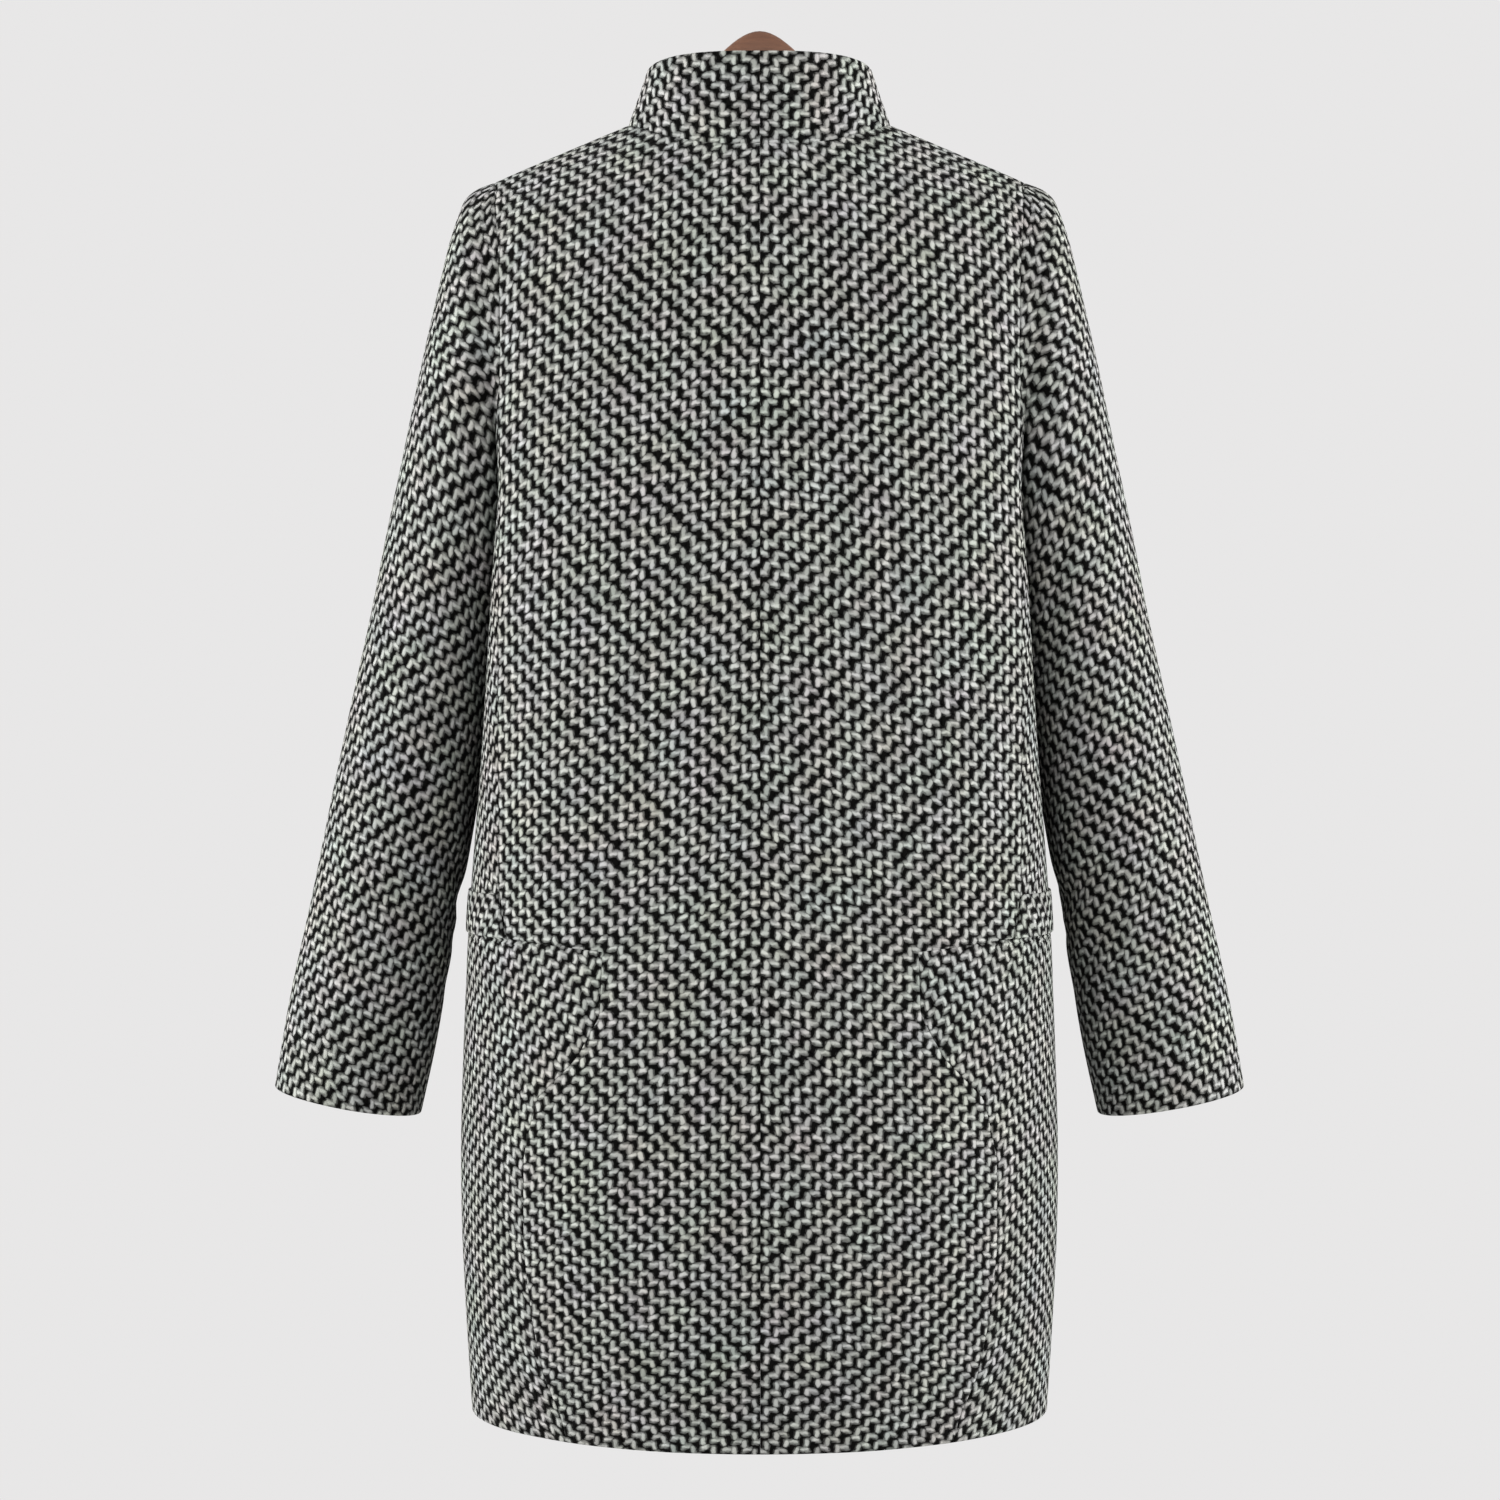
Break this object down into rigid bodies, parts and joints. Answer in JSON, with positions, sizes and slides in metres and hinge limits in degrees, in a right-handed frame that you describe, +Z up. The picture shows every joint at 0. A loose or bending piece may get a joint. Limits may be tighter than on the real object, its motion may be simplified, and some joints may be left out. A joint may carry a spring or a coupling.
{
  "type": "long tweed coat on wooden hanger",
  "caption": "Thigh-length tweed coat with a stand collar, lapped buttoned front, long sleeves and hip pockets, filled out hollow on a wooden hanger.",
  "frame": {"origin": "top of the hanger's hump, where the hanger is held", "axes": "+Z up, +Y towards the coat's back, +X towards the wearer's left"},
  "size_m": [0.6534, 0.282, 0.921],
  "materials": {
    "tweed": "coarse woven wool, matte",
    "wood": "stained and satin varnished",
    "horn": "satin horn look"
  },
  "bodies": {
    "root": {"back_left": "tweed", "back_right": "tweed", "side_left": "tweed", "side_right": "tweed", "front_left": "tweed", "front_right": "tweed", "sleeve_left": "tweed", "sleeve_right": "tweed", "collar_left": "tweed", "collar_right": "tweed", "welt_left": "tweed", "welt_right": "tweed", "button_1": "horn", "button_2": "horn", "button_3": "horn", "button_4": "horn", "button_5": "horn", "hanger": "wood"}
  },
  "joints": []
}
